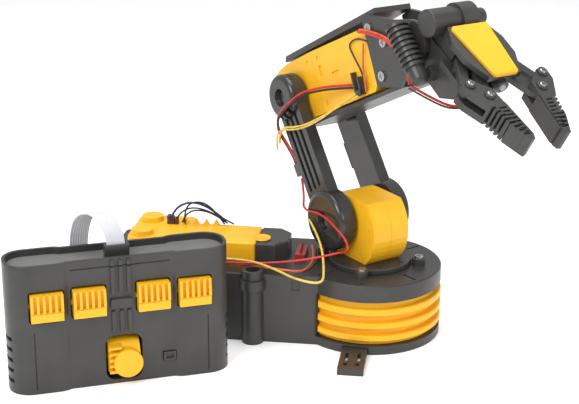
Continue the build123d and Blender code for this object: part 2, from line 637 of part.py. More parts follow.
LAMP = Plane(origin=HAND.from_local_coords((57.2, 19.2, 0)), x_dir=NEAR, z_dir=HAND.x_dir)
with BuildPart() as lamp_holder:
    disc(LAMP, 0, 5.5, 4.2)
    block(HAND, -3, 3, (58.6, 22.2), (2.8, 2.4))
    disc(LAMP, 1.5, 5.5, 2.7, mode=Mode.SUBTRACT)
save(lamp_holder.part, "lamp_holder")

with BuildPart() as lamp_lens:
    disc(LAMP, 1.5, 6.8, 2.5)
    fillet(lamp_lens.edges().sort_by(Axis(LAMP.origin, LAMP.z_dir))[-1], 2.2)
save(lamp_lens.part, "lamp_lens")


def link_bar(start, end, width):
    """Flat bar with round ends and a pin bore at each end."""
    middle = ((start[0] + end[0]) / 2, (start[1] + end[1]) / 2)
    length = ((end[0] - start[0]) ** 2 + (end[1] - start[1]) ** 2) ** 0.5
    turn = degrees(atan2(end[1] - start[1], end[0] - start[0]))
    with BuildSketch(PALM.offset(LINK_LOW)) as bar:
        with Locations(middle):
            SlotCenterToCenter(length, width, rotation=turn)
    extrude(bar.sketch, amount=LINK_HIGH - LINK_LOW)


FINGER_OUTLINE = [
    (67, 15.2), (77, 13.9), (105, 10.9), (108, 12), (108.5, 14.6), (96, 20.5), (82, 23.8), (68, 31.5), (61, 32.2),
    (58, 29), (59, 25),
]
PAD_OUTLINE = [(78, 14.2), (104, 11.4), (103.8, 9.4), (78, 12.2)]

for side, side_name in ((1, "far"), (-1, "near")):
    drive = mirrored(DRIVE_PIVOT, side)
    guide = mirrored(GUIDE_PIVOT, side)
    finger_places = (linked(DRIVE_PIVOT, side), linked(GUIDE_PIVOT, side))
    with BuildPart() as drive_link:
        hub = Plane(origin=PALM.from_local_coords((*drive, 0)), x_dir=PALM.x_dir, z_dir=PALM.z_dir)
        half_tooth = 90 / SECTOR_TEETH if side < 0 else 0
        gear(hub, LINK_LOW, LINK_HIGH, SECTOR_TEETH, SECTOR_RADIUS, fill=0.8, start=2 * half_tooth)
        block(hub, LINK_LOW, LINK_HIGH, (0, side * 11), (30, 20), mode=Mode.SUBTRACT)
        link_bar(drive, finger_places[0], 7)
        disc(PALM, LINK_LOW, LINK_HIGH, PIN_BORE, (drive, finger_places[0]), Mode.SUBTRACT)
    save(drive_link.part, f"drive_link_{side_name}")

    with BuildPart() as guide_link:
        link_bar(guide, finger_places[1], 6)
        disc(PALM, LINK_LOW, LINK_HIGH, PIN_BORE, (guide, finger_places[1]), Mode.SUBTRACT)
    save(guide_link.part, f"guide_link_{side_name}")

    with BuildPart() as finger:
        plate(PALM, FINGER_LOW, FINGER_HIGH, [mirrored(p, side) for p in FINGER_OUTLINE])
        block(PALM, LINK_LOW - 0.4, LINK_HIGH + 0.4, (65, side * 24), (28, 26), mode=Mode.SUBTRACT)
        for tooth in range(8):
            spot = (81.5 + 3.1 * tooth, side * (24 - 1.4 * tooth))
            block(PALM, FINGER_LOW, FINGER_HIGH, spot, (1.5, 5), mode=Mode.SUBTRACT)
            groove = (82.5 + 2.8 * tooth, side * (17.6 - 0.72 * tooth))
            block(PALM, FINGER_HIGH - 1, FINGER_HIGH, groove, (1.3, 5), mode=Mode.SUBTRACT)
        disc(PALM, FINGER_LOW, FINGER_HIGH, PIN_RADIUS, finger_places)
        plate(PALM, FINGER_LOW + 1, FINGER_HIGH - 1, [mirrored(p, side) for p in PAD_OUTLINE])
    save(finger.part, f"finger_{side_name}")


# ---------------------------------------------------------------- wires
WIRE_RADIUS = 0.8
RIBBON_WIDTH, RIBBON_THICK = 11.6, 1.2


def fore(*place):
    return FORE.from_local_coords(place)


def upper(*place):
    return UPPER.from_local_coords(place)


def hand(*place):
    return HAND.from_local_coords(place)


def beside(*place):
    return SIDE.from_local_coords(place)


def bend_radii(points):
    """The largest arc that each corner's two runs allow."""
    radii = []
    for before, corner, after in zip(points, points[1:], points[2:]):
        first, second = corner - before, after - corner
        turn = radians(first.get_angle(second))
        radii.append(0.45 * min(first.length, second.length) / tan(turn / 2))
    return radii


def swept(points, width, thickness=0, across=None):
    """A round wire, or a flat one, along straight runs joined by tangent arcs.  Returns its length."""
    with BuildLine() as path:
        FilletPolyline(points, radius=bend_radii(points))
    start = Plane(origin=path.line @ 0, x_dir=across, z_dir=path.line % 0)
    with BuildSketch(start) as section:
        if thickness:
            Rectangle(width, thickness)
        else:
            Circle(width / 2)
    sweep(section.sketch, path=path.line)
    return sum(edge.length for edge in path.line.edges())


def tell(name, part, expected, routes):
    tightest = min(min(bend_radii(route)) for route in routes)
    print(f"{name}: volume {part.volume:.1f}, section times length {expected:.1f}, tightest arc {tightest:.1f}")


WIRES = {
    "hand_wires": [[hand(53, -3, 8), hand(46.3, -12.5, 9), hand(28, -20.3, 12.5), fore(131, -23, 18.8)]],
    "side_wires": [[
        fore(131, -22, 19.4), fore(134, -8, 19.8), fore(123, 6.5, 20.4), fore(107, 16.5, 21.2), fore(93, 21, 20.2),
    ]],
    "elbow_wires": [
        [
            fore(71, -9, 16.5), fore(56, -5.5, 20), fore(40.5, -3, 25.5), fore(26, -2.6, 30.2), fore(8, -7.5, 31.4),
            upper(81, 8, 30.6), upper(72.5, 14.5, 29.6), upper(60, 14.6, 25.4), upper(48, 14.6, 23.8),
        ],
        [
            fore(74, -16.5, 18), fore(54.7, -18.6, 20.4), fore(34.3, -22.4, 24.5), fore(14.3, -23.8, 28.4),
            upper(73, 9.6, 31.5), upper(64, 17.6, 30),
        ],
    ],
    "shoulder_wires": [[
        upper(36, 15.4, 23.8), upper(24.7, 18.3, 24.5), upper(14.5, 17.5, 30.2), beside(2, 6.8, 32),
        beside(22, 1.6, 33), beside(33.5, -4, 33), beside(33, -11.6, 33), beside(25, -13.6, 33),
    ]],
    "deck_wires": [
        [
            beside(24, -14, 33), Vector(-36, -29, 58), Vector(-62, -30, 54), Vector(-88, -32, 53.4),
            Vector(-106, -27, 52), Vector(-118, -19, 53),
        ],
        [
            beside(-13, -2, 31.6), beside(3, -12, 32.5), Vector(-26, -45, 54), Vector(-27, -56, 51.5),
            Vector(-44, -51, 51.8), Vector(-60, -37, 53), Vector(-80, -28, 55), Vector(-99, -24, 53),
        ],
    ],
    "housing_wires": [[
        Vector(-141, 15, 62.5), Vector(-139, 15, 72), Vector(-127, 16, 79), Vector(-112, 17, 74), Vector(-102, 18, 64.5),
    ]],
}
for name, routes in WIRES.items():
    with BuildPart() as harness:
        total = sum(swept(route, 2 * WIRE_RADIUS) for route in routes)
    tell(name, harness.part, total * pi * WIRE_RADIUS**2, routes)
    save(harness.part, name)

RIBBON_Y = PAD_SPLIT - 3
RIBBON_ROUTE = [
    PAD.from_local_coords((PAD_MID + x, RIBBON_Y + y, z))
    for x, y, z in (
        (0, 0, 80.6), (0, 0, 91), (-2, 3, 100), (-9, 12, 107), (-16, 21, 102), (-18.5, 25, 92),
        (-19.5, 26.8, 80), (-20, 27.8, 68),
    )
]
with BuildPart() as ribbon_cable:
    total = swept(RIBBON_ROUTE, RIBBON_WIDTH, RIBBON_THICK, PAD.x_dir)
tell("ribbon_cable", ribbon_cable.part, total * RIBBON_WIDTH * RIBBON_THICK, [RIBBON_ROUTE])
save(ribbon_cable.part, "ribbon_cable")
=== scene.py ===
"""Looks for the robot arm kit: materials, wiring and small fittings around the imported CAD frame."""
from math import cos, pi, radians, sin

import bmesh
import bpy
from mathutils import Matrix, Vector


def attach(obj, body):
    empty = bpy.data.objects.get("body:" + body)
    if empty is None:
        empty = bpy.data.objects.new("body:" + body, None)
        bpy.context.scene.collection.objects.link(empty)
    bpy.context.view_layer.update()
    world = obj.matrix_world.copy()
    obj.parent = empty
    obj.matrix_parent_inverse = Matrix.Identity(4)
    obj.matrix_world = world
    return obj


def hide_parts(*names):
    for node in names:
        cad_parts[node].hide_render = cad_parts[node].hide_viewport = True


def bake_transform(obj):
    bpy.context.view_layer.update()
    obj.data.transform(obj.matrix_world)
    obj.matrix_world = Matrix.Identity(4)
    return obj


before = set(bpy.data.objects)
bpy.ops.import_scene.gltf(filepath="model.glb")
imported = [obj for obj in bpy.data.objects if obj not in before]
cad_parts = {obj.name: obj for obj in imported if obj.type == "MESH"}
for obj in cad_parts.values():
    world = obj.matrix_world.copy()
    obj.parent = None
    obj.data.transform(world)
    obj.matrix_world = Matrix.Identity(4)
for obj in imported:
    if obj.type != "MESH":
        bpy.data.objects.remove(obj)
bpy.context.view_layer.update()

MM = 0.001

# ---------------------------------------------------------------- frames of the arm, as posed
YAW, UPPER_PITCH, FORE_PITCH, HAND_PITCH = -48.5, 125.7, 24.9, -32.0
UP = Vector((0, 0, 1))
FORWARD = Vector((cos(radians(YAW)), sin(radians(YAW)), 0))
NEAR = FORWARD.cross(UP)


def along(pitch):
    """Unit vector in the arm's plane at this pitch."""
    return FORWARD * cos(radians(pitch)) + UP * sin(radians(pitch))


SHOULDER = UP * 77.5 - FORWARD * 14.3
ELBOW = SHOULDER + along(UPPER_PITCH) * 90.5
WRIST = ELBOW + along(FORE_PITCH) * 140.0 + along(FORE_PITCH + 90) * 2.0


def link_frame(origin, pitch):
    """Maps (along, across, towards the near side) in mm to a point in metres."""
    x, y = along(pitch), along(pitch + 90)
    return lambda a, b, c: (origin + x * a + y * b + NEAR * c) * MM


upper = link_frame(SHOULDER, UPPER_PITCH)
fore = link_frame(ELBOW, FORE_PITCH)
hand = link_frame(WRIST, HAND_PITCH)
beside = link_frame(SHOULDER, 0)

PAD_CORNER = Vector((-207.2, -141.3, 0))
PAD_RIGHT = Vector((cos(radians(24.8)), sin(radians(24.8)), 0))
PAD_BACK = UP.cross(PAD_RIGHT)
PAD_MID = 139.7 / 2
RIBBON_WIDTH, RIBBON_Y = 11.6, 13.0


def pad(across, back, height):
    """A point on the controller, in metres."""
    return (PAD_CORNER + PAD_RIGHT * across + PAD_BACK * back + UP * height) * MM


def table(x, y, z):
    """A point in the row frame, given in mm."""
    return Vector((x, y, z)) * MM


# ---------------------------------------------------------------- materials
def shader(name):
    """A new material with its Principled shader and a helper to add nodes."""
    material = bpy.data.materials.new(name)
    material.use_nodes = True
    nodes, links = material.node_tree.nodes, material.node_tree.links
    return material, nodes["Principled BSDF"], nodes, links


def add_noise(nodes, links, scale, detail):
    """Noise in the object's own coordinates."""
    coords = nodes.new("ShaderNodeTexCoord")
    noise = nodes.new("ShaderNodeTexNoise")
    noise.inputs["Scale"].default_value = scale
    noise.inputs["Detail"].default_value = detail
    noise.inputs["Roughness"].default_value = 0.6
    links.new(coords.outputs["Object"], noise.inputs["Vector"])
    return noise


def add_ramp(nodes, links, source, stops):
    """A colour ramp through the given (position, colour) stops."""
    ramp = nodes.new("ShaderNodeValToRGB")
    elements = ramp.color_ramp.elements
    elements[0].position, elements[0].color = stops[0][0], (*stops[0][1], 1)
    elements[1].position, elements[1].color = stops[-1][0], (*stops[-1][1], 1)
    for position, colour in stops[1:-1]:
        elements.new(position).color = (*colour, 1)
    links.new(source, ramp.inputs["Fac"])
    return ramp


def shade(colour, factor):
    """The colour, made lighter or darker."""
    return tuple(min(1.0, c * factor) for c in colour)


def moulded(name, colour, rough=0.38, grain=0.05, spread=0.1, edge=0.45, coat=0.0, gloss=0.5):
    """Moulded plastic: faint flow mottling, fine spark grain, soft edges, uneven gloss and handling marks."""
    material, bsdf, nodes, links = shader(name)
    flow = add_noise(nodes, links, 38, 3)
    stops = [(0.3, shade(colour, 1 - spread)), (0.7, shade(colour, 1 + spread))]
    tint = add_ramp(nodes, links, flow.outputs["Fac"], stops)
    dust = add_noise(nodes, links, 900, 2)
    specks = add_ramp(nodes, links, dust.outputs["Fac"], [(0.68, (0, 0, 0)), (0.8, (1, 1, 1))])
    mix = nodes.new("ShaderNodeMixRGB")
    mix.blend_type = "MIX"
    mix.inputs["Color2"].default_value = (*shade(colour, 1.35), 1)
    scaled = nodes.new("ShaderNodeMath")
    scaled.operation = "MULTIPLY"
    scaled.inputs[1].default_value = 0.25
    links.new(specks.outputs["Color"], scaled.inputs[0])
    links.new(scaled.outputs[0], mix.inputs["Fac"])
    links.new(tint.outputs["Color"], mix.inputs["Color1"])
    links.new(mix.outputs["Color"], bsdf.inputs["Base Color"])
    wipe = add_noise(nodes, links, 70, 5)
    haze = nodes.new("ShaderNodeMapRange")
    haze.inputs["To Min"].default_value = max(0.05, rough - 0.09)
    haze.inputs["To Max"].default_value = rough + 0.12
    links.new(wipe.outputs["Fac"], haze.inputs["Value"])
    links.new(haze.outputs["Result"], bsdf.inputs["Roughness"])
    spark = add_noise(nodes, links, 1600, 2)
    bump = nodes.new("ShaderNodeBump")
    bump.inputs["Strength"].default_value = grain
    bump.inputs["Distance"].default_value = 0.0004
    links.new(spark.outputs["Fac"], bump.inputs["Height"])
    bevel = nodes.new("ShaderNodeBevel")
    bevel.samples = 4
    bevel.inputs["Radius"].default_value = edge * MM
    links.new(bevel.outputs["Normal"], bump.inputs["Normal"])
    links.new(bump.outputs["Normal"], bsdf.inputs["Normal"])
    bsdf.inputs["Specular IOR Level"].default_value = gloss
    bsdf.inputs["Coat Weight"].default_value = coat
    bsdf.inputs["Coat Roughness"].default_value = 0.2
    return material


def metal(name, colour, rough=0.3):
    """Turned or rolled metal: fine directional scratches and a slight tarnish."""
    material, bsdf, nodes, links = shader(name)
    coords = nodes.new("ShaderNodeTexCoord")
    mapping = nodes.new("ShaderNodeMapping")
    mapping.inputs["Scale"].default_value = (1, 1, 14)
    links.new(coords.outputs["Object"], mapping.inputs["Vector"])
    scratch = nodes.new("ShaderNodeTexNoise")
    scratch.inputs["Scale"].default_value = 420
    scratch.inputs["Detail"].default_value = 6
    links.new(mapping.outputs["Vector"], scratch.inputs["Vector"])
    tint = add_ramp(nodes, links, scratch.outputs["Fac"], [(0.3, shade(colour, 0.72)), (0.65, colour)])
    links.new(tint.outputs["Color"], bsdf.inputs["Base Color"])
    gloss = nodes.new("ShaderNodeMapRange")
    gloss.inputs["To Min"].default_value = rough - 0.1
    gloss.inputs["To Max"].default_value = rough + 0.15
    links.new(scratch.outputs["Fac"], gloss.inputs["Value"])
    links.new(gloss.outputs["Result"], bsdf.inputs["Roughness"])
    bump = nodes.new("ShaderNodeBump")
    bump.inputs["Strength"].default_value = 0.12
    bump.inputs["Distance"].default_value = 0.0002
    links.new(scratch.outputs["Fac"], bump.inputs["Height"])
    links.new(bump.outputs["Normal"], bsdf.inputs["Normal"])
    bsdf.inputs["Metallic"].default_value = 1.0
    return material


def sheath(name, colour, rough=0.3):
    """Extruded wire insulation: waxy gloss, faint lengthwise draw lines and handling dirt."""
    material, bsdf, nodes, links = shader(name)
    dirt = add_noise(nodes, links, 260, 5)
    stops = [(0.32, shade(colour, 0.7)), (0.6, colour), (0.8, shade(colour, 1.25))]
    tint = add_ramp(nodes, links, dirt.outputs["Fac"], stops)
    links.new(tint.outputs["Color"], bsdf.inputs["Base Color"])
    draw = add_noise(nodes, links, 1400, 2)
    bump = nodes.new("ShaderNodeBump")
    bump.inputs["Strength"].default_value = 0.1
    bump.inputs["Distance"].default_value = 0.0002
    links.new(draw.outputs["Fac"], bump.inputs["Height"])
    links.new(bump.outputs["Normal"], bsdf.inputs["Normal"])
    gloss = nodes.new("ShaderNodeMapRange")
    gloss.inputs["To Min"].default_value = rough - 0.08
    gloss.inputs["To Max"].default_value = rough + 0.15
    links.new(dirt.outputs["Fac"], gloss.inputs["Value"])
    links.new(gloss.outputs["Result"], bsdf.inputs["Roughness"])
    bsdf.inputs["Subsurface Weight"].default_value = 0.05
    return material


def lens_plastic(name):
    """Clear lamp dome with a milky core."""
    material, bsdf, nodes, links = shader(name)
    cloud = add_noise(nodes, links, 300, 3)
    tint = add_ramp(nodes, links, cloud.outputs["Fac"], [(0.3, (0.82, 0.85, 0.9)), (0.7, (0.98, 0.98, 1.0))])
    links.new(tint.outputs["Color"], bsdf.inputs["Base Color"])
    bsdf.inputs["Roughness"].default_value = 0.06
    bsdf.inputs["Transmission Weight"].default_value = 0.6
    return material


YELLOW = moulded(
    "yellow_plastic", (0.87, 0.45, 0.012), rough=0.34, grain=0.04, spread=0.05, edge=0.6, gloss=0.4
)
BLACK = moulded(
    "black_plastic", (0.036, 0.0355, 0.034), rough=0.36, grain=0.06, spread=0.18, edge=0.5, gloss=0.5
)
GREY = moulded("grey_plastic", (0.15, 0.15, 0.145), rough=0.5, grain=0.08, spread=0.1, edge=0.5, gloss=0.3)
GLOSSY = moulded(
    "glossy_black", (0.03, 0.03, 0.029), rough=0.2, grain=0.02, spread=0.15, edge=0.5, gloss=0.55
)
STEEL = metal("zinc_steel", (0.47, 0.47, 0.48), rough=0.32)
CELL = metal("cell_jacket", (0.42, 0.35, 0.16), rough=0.3)
CAN = metal("motor_can", (0.6, 0.6, 0.62), rough=0.28)
BOARD = moulded("circuit_board", (0.02, 0.14, 0.06), rough=0.3, grain=0.1, spread=0.2, coat=0.4)
LENS = lens_plastic("lamp_dome")
TERMINAL = moulded("terminal_red", (0.32, 0.02, 0.015), rough=0.35, grain=0.05, spread=0.1)
BROWN = moulded("plug_brown", (0.09, 0.028, 0.018), rough=0.4, grain=0.05, spread=0.12)
RED = sheath("red_sheath", (0.6, 0.02, 0.018))
DARK = sheath("black_sheath", (0.018, 0.018, 0.02))
AMBER = sheath("yellow_sheath", (0.85, 0.56, 0.1))
BLUE = sheath("blue_sheath", (0.016, 0.02, 0.12))
ORANGE = sheath("orange_sheath", (0.7, 0.13, 0.03))
WHITE = moulded("ribbon_sheath", (0.58, 0.58, 0.61), rough=0.5, grain=0.04, spread=0.06, edge=0.3)

FINISH = {
    YELLOW: (
        "rib_band", "yaw_housing", "shoulder_case_near", "shoulder_case_far", "elbow_case_near",
        "elbow_case_far", "wrist_case_near", "wrist_case_far", "hand_cover", "lever_1", "lever_2", "lever_3",
        "lever_4", "round_lever",
    ),
    GREY: ("controller_top",),
    GLOSSY: ("upper_arm_near", "upper_arm_far"),
    STEEL: ("base_screws", "forearm_screws", "shoulder_shaft", "elbow_shaft"),
    CELL: ("battery_cells",),
    CAN: ("yaw_motor", "shoulder_motor", "elbow_motor", "wrist_drive"),
    BOARD: ("controller_board",),
    LENS: ("lamp_lens",),
    TERMINAL: ("wire_terminal",),
    RED: ("hand_wires", "side_wires", "elbow_wires", "shoulder_wires", "deck_wires", "housing_wires"),
    WHITE: ("ribbon_cable",),
}


def paint(obj, material):
    """Puts the material on every slot of the piece."""
    if obj.data.materials:
        for index in range(len(obj.data.materials)):
            obj.data.materials[index] = material
    else:
        obj.data.materials.append(material)


for name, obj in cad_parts.items():
    paint(obj, next((m for m, names in FINISH.items() if name in names), BLACK))


# ---------------------------------------------------------------- wires
def nurbs(name, route, thickness):
    """A smooth wire whose control points are the route."""
    curve = bpy.data.curves.new(name, "CURVE")
    curve.dimensions = "3D"
    curve.resolution_u = 10
    curve.bevel_depth = thickness / 2
    curve.bevel_resolution = 3
    curve.use_fill_caps = True
    spline = curve.splines.new("NURBS")
    spline.points.add(len(route) - 1)
    for point, place in zip(spline.points, route):
        point.co = (*place, 1)
    spline.order_u = 3
    spline.use_endpoint_u = True
    obj = bpy.data.objects.new(name, curve)
    bpy.context.collection.objects.link(obj)
    return obj


def centreline(obj):
    """The points that a curve's own line follows."""
    bevel, obj.data.bevel_depth = obj.data.bevel_depth, 0
    bpy.context.view_layer.update()
    mesh = obj.evaluated_get(bpy.context.evaluated_depsgraph_get()).to_mesh()
    points = [v.co.copy() for v in mesh.vertices]
    obj.to_mesh_clear()
    obj.data.bevel_depth = bevel
    return points


def meshed(obj):
    """The curve's tube as a mesh object of the same name."""
    bpy.context.view_layer.update()
    graph = bpy.context.evaluated_depsgraph_get()
    mesh = bpy.data.meshes.new_from_object(obj.evaluated_get(graph))
    name = obj.name
    bpy.data.objects.remove(obj)
    tube = bpy.data.objects.new(name, mesh)
    bpy.context.collection.objects.link(tube)
    return tube


def wire(name, route, material, thickness, bodies, replaces=None):
    """One insulated wire.  It rides on one body, or runs from the first body to the second as a fixed mesh
    that follows neither.
    """
    obj = nurbs(name, route, thickness)
    path = centreline(obj)
    obj.data.materials.append(material)
    if len(bodies) == 2:
        obj = meshed(obj)
        for face in obj.data.polygons:
            face.use_smooth = True
        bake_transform(obj)
    else:
        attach(obj, bodies[0])
    if replaces:
        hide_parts(replaces)


def shifted(route, offset):
    """The same route moved sideways, for a second wire beside the first."""
    return [place + offset * MM for place in route]


HAND_ROUTE = [hand(53, -3, 8), hand(46.3, -12.5, 9), hand(28, -20.3, 12.5), fore(131, -23, 18.8)]
SIDE_ROUTE = [
    fore(131, -22, 19.4), fore(134, -8, 19.8), fore(123, 6.5, 20.4), fore(107, 16.5, 21.2),
    fore(93, 21, 20.2),
]
ELBOW_ROUTE = [
    fore(71, -9, 16.5), fore(56, -5.5, 20), fore(40.5, -3, 25.5), fore(26, -2.6, 30.2), fore(8, -7.5, 31.4),
    upper(81, 8, 30.6), upper(72.5, 14.5, 29.6), upper(60, 14.6, 25.4), upper(48, 14.6, 23.8),
]
SLACK_ROUTE = [
    fore(74, -16.5, 18), fore(54.7, -18.6, 20.4), fore(34.3, -22.4, 24.5), fore(14.3, -23.8, 28.4),
    upper(73, 9.6, 31.5), upper(64, 17.6, 30),
]
SHOULDER_ROUTE = [
    upper(36, 15.4, 23.8), upper(24.7, 18.3, 24.5), upper(14.5, 17.5, 30.2), beside(2, 6.8, 32),
    beside(22, 1.6, 33), beside(33.5, -4, 33), beside(33, -11.6, 33), beside(25, -13.6, 33),
]
DECK_ROUTE = [
    beside(24, -14, 33), table(-36, -29, 58), table(-62, -30, 54), table(-88, -32, 53.4),
    table(-106, -27, 52), table(-118, -19, 53),
]
LOOP_ROUTE = [
    beside(-13, -2, 31.6), beside(3, -12, 32.5), table(-26, -45, 54), table(-27, -56, 51.5),
    table(-44, -51, 51.8), table(-60, -37, 53), table(-80, -28, 55), table(-99, -24, 53),
]
HOUSING_ROUTE = [
    table(-141, 15, 62.5), table(-139, 15, 72), table(-127, 16, 79), table(-112, 17, 74),
    table(-102, 18, 64.5),
]

THICK, THIN, FINE = 2.0 * MM, 1.6 * MM, 1.2 * MM
HAND_SPAN = (hand(14, -20, 12), fore(124, -20, 18))
ELBOW_SPAN = (fore(30, -2, 28), upper(76, 12, 29))
SHOULDER_SPAN = (upper(20, 18, 27), beside(20, 0, 33))
wire("hand_wire_red", HAND_ROUTE, RED, THIN, ("hand", "forearm"), "hand_wires")
wire("hand_wire_black", shifted(HAND_ROUTE, NEAR * 1.7 - UP), DARK, FINE, ("hand", "forearm"))
wire("side_wire_red", SIDE_ROUTE, RED, THICK, ("forearm",), replaces="side_wires")
wire("side_wire_orange", shifted(SIDE_ROUTE, UP * 1.1 - NEAR * 1.2), ORANGE, THIN, ("forearm",))
wire("elbow_wire_red", ELBOW_ROUTE, RED, THIN, ("forearm", "upper_arm"), "elbow_wires")
wire("elbow_wire_black", shifted(ELBOW_ROUTE, UP * -1.9), DARK, THIN, ("forearm", "upper_arm"))
wire("elbow_wire_yellow", SLACK_ROUTE, AMBER, THIN, ("forearm", "upper_arm"))
wire(
    "shoulder_wire_red", SHOULDER_ROUTE, RED, THIN, ("upper_arm", "turntable"),
    replaces="shoulder_wires",
)
wire("deck_wire_red", DECK_ROUTE, RED, THIN, ("turntable", "base"), "deck_wires")
wire("deck_wire_yellow", LOOP_ROUTE, AMBER, THIN, ("turntable", "base"))
wire("housing_wire_blue", HOUSING_ROUTE, BLUE, THIN, ("base",), replaces="housing_wires")

CASE_BLACK_ROUTE = [
    fore(96.6, 13.4, 17.4), fore(89, 17.1, 16.2), fore(80, 18.8, 15.8), fore(73.5, 16.4, 15.8),
    fore(76, 8.9, 15.8), fore(81.5, -2.9, 16.2), fore(82.2, -10.4, 16.4), fore(80, -15.6, 15.8),
]
CASE_ORANGE_ROUTE = [
    fore(91, 13.5, 16.8), fore(87.5, 7.8, 16.4), fore(85.2, -1.3, 17.4), fore(84.4, -8.2, 17.4),
    fore(81.6, -15.9, 16.6),
]
wire("case_wire_black", CASE_BLACK_ROUTE, DARK, FINE, ("forearm",))
wire("case_wire_orange", CASE_ORANGE_ROUTE, ORANGE, FINE, ("forearm",))

SLACK_PAIR_ROUTE = [
    fore(74, -15, 19.6), fore(54, -18.9, 22.2), fore(34.3, -24, 26.2), fore(14.3, -25.4, 29.6),
    upper(71.6, 10.2, 32), upper(66.5, 18, 31.4), upper(61, 21.5, 31),
]
wire("elbow_wire_cream", SLACK_PAIR_ROUTE, AMBER, FINE, ("forearm", "upper_arm"))

for index, (rise, drift, material) in enumerate(((2.2, 3.4, DARK), (-2.6, -3, BLUE), (-4.6, 1.6, DARK))):
    route = [
        table(-134 + drift, 15 + index, 62.4), table(-134.4 + drift, 15 + index, 68 + rise),
        table(-128.6 + drift / 2, 15 + index, 75.8 + rise), table(-119 + drift / 2, 16 + index, 76.4 + rise),
        table(-109, 16.5 + index, 70.5 + rise / 2), table(-99.5 - drift, 17 + index, 62.6),
    ]
    wire(f"housing_wire_{index + 1}", route, material, FINE, ("base",))

DECK_BLACK_ROUTE = [
    table(-39, 11, 53.6), table(-35, -2, 53), table(-34, -16, 52.2), table(-37, -32, 51.4),
    table(-46, -41, 50.8),
    table(-57, -36.5, 51.8), table(-70, -28, 51.2), table(-86, -24, 50.6), table(-98, -22, 50.4),
]
DECK_ORANGE_ROUTE = [
    table(-40.5, 8, 53.6), table(-37.6, -6, 52.6), table(-37, -22, 51.6), table(-42, -36, 51.2),
    table(-54, -38.5, 53),
    table(-70, -31, 51.6), table(-92, -26.5, 50.8), table(-101, -25, 50.6),
]
wire("deck_wire_black", DECK_BLACK_ROUTE, DARK, FINE, ("base",))
wire("deck_wire_orange", DECK_ORANGE_ROUTE, ORANGE, THIN, ("base",))


# ---------------------------------------------------------------- small fittings
def piece(name, bm, material, body, smooth=True):
    """Turns mesh data into a piece that rides on a body."""
    bmesh.ops.recalc_face_normals(bm, faces=bm.faces)
    mesh = bpy.data.meshes.new(name)
    bm.to_mesh(mesh)
    bm.free()
    mesh.materials.append(material)
    for face in mesh.polygons:
        face.use_smooth = smooth
    obj = bpy.data.objects.new(name, mesh)
    bpy.context.collection.objects.link(obj)
    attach(obj, body)
    return obj


def facing(place, axis):
    """Matrix that puts a local +Z along the axis at the place."""
    axis = axis.normalized()
    side = (UP if abs(axis.z) < 0.9 else Vector((1, 0, 0))).cross(axis).normalized()
    across = axis.cross(side)
    return Matrix((
        (side.x, across.x, axis.x, place.x),
        (side.y, across.y, axis.y, place.y),
        (side.z, across.z, axis.z, place.z),
        (0, 0, 0, 1),
    ))


def add_lathe(bm, profile, place, axis, segments=32):
    """A turned shape; the profile is (radius, height) in mm, from the rim to the crown."""
    turn = facing(place, axis)
    rings = []
    for radius, height in profile:
        if radius == 0:
            rings.append([bm.verts.new(turn @ Vector((0, 0, height * MM)))])
            continue
        rings.append([
            bm.verts.new(turn @ Vector((radius * cos(a) * MM, radius * sin(a) * MM, height * MM)))
            for a in (2 * pi * k / segments for k in range(segments))
        ])
    for low, high in zip(rings, rings[1:]):
        for k in range(segments):
            after = (k + 1) % segments
            if len(high) == 1:
                bm.faces.new((low[k], low[after], high[0]))
            elif len(low) == 1:
                bm.faces.new((low[0], high[after], high[k]))
            else:
                bm.faces.new((low[k], low[after], high[after], high[k]))


def add_screw(bm, place, axis, radius):
    """Pan head with a cross recess pressed into it."""
    crown, turned = 0.9, 0.4
    turn = facing(place, axis)
    rings, spokes = 12, 48
    levels = []
    for ring in range(rings + 1):
        share = 1 - ring / rings
        level = []
        for k in range(spokes):
            angle = 2 * pi * k / spokes
            x, y = radius * share * cos(angle), radius * share * sin(angle)
            height = crown * (1 - share**4) ** 0.5 if share < 1 else 0
            local_x = x * cos(turned) + y * sin(turned)
            local_y = y * cos(turned) - x * sin(turned)
            arm = radius * 0.17
            if share < 0.68 and (abs(local_x) < arm or abs(local_y) < arm):
                height -= crown * 0.85
            level.append(bm.verts.new(turn @ Vector((x * MM, y * MM, height * MM))))
            if ring == rings:
                break
        levels.append(level)
    for low, high in zip(levels, levels[1:]):
        for k in range(spokes):
            after = (k + 1) % spokes
            if len(high) == 1:
                bm.faces.new((low[k], low[after], high[0]))
            else:
                bm.faces.new((low[k], low[after], high[after], high[k]))


def add_bar(bm, corners_low, corners_high):
    """A box between two four-cornered loops."""
    low = [bm.verts.new(p) for p in corners_low]
    high = [bm.verts.new(p) for p in corners_high]
    bm.faces.new(low)
    bm.faces.new(high[::-1])
    for k in range(4):
        after = (k + 1) % 4
        bm.faces.new((low[k], high[k], high[after], low[after]))


def palm(x, y, height):
    """A point on the gripper: towards the tips, towards the far side, above the wrist axis."""
    return hand(x, height, -y)


PALM_UP = along(HAND_PITCH + 90)
FINGER_PINS = ((72, 20), (62, 27.5))
COLLAR_FOOT, SCREW_FOOT = 26, 27.2
COLLAR_PROFILE = [(3.4, 0), (3.4, 1.0), (3.0, 1.5), (2.4, 1.6), (2.3, 1.2), (0, 1.2)]
SCREW_RADIUS = 2.2
for side, side_name in ((1, "far"), (-1, "near")):
    bm = bmesh.new()
    for x, y in FINGER_PINS:
        add_lathe(bm, COLLAR_PROFILE, palm(x, side * y, COLLAR_FOOT), PALM_UP)
    piece(f"finger_collars_{side_name}", bm, BLACK, f"finger_{side_name}")
    bm = bmesh.new()
    for x, y in FINGER_PINS:
        add_screw(bm, palm(x, side * y, SCREW_FOOT), PALM_UP, SCREW_RADIUS)
    piece(f"finger_screws_{side_name}", bm, STEEL, f"finger_{side_name}", smooth=False)

CLIP_INNER, CLIP_OUTER = 19.5, 23
CLIP_POST = 4


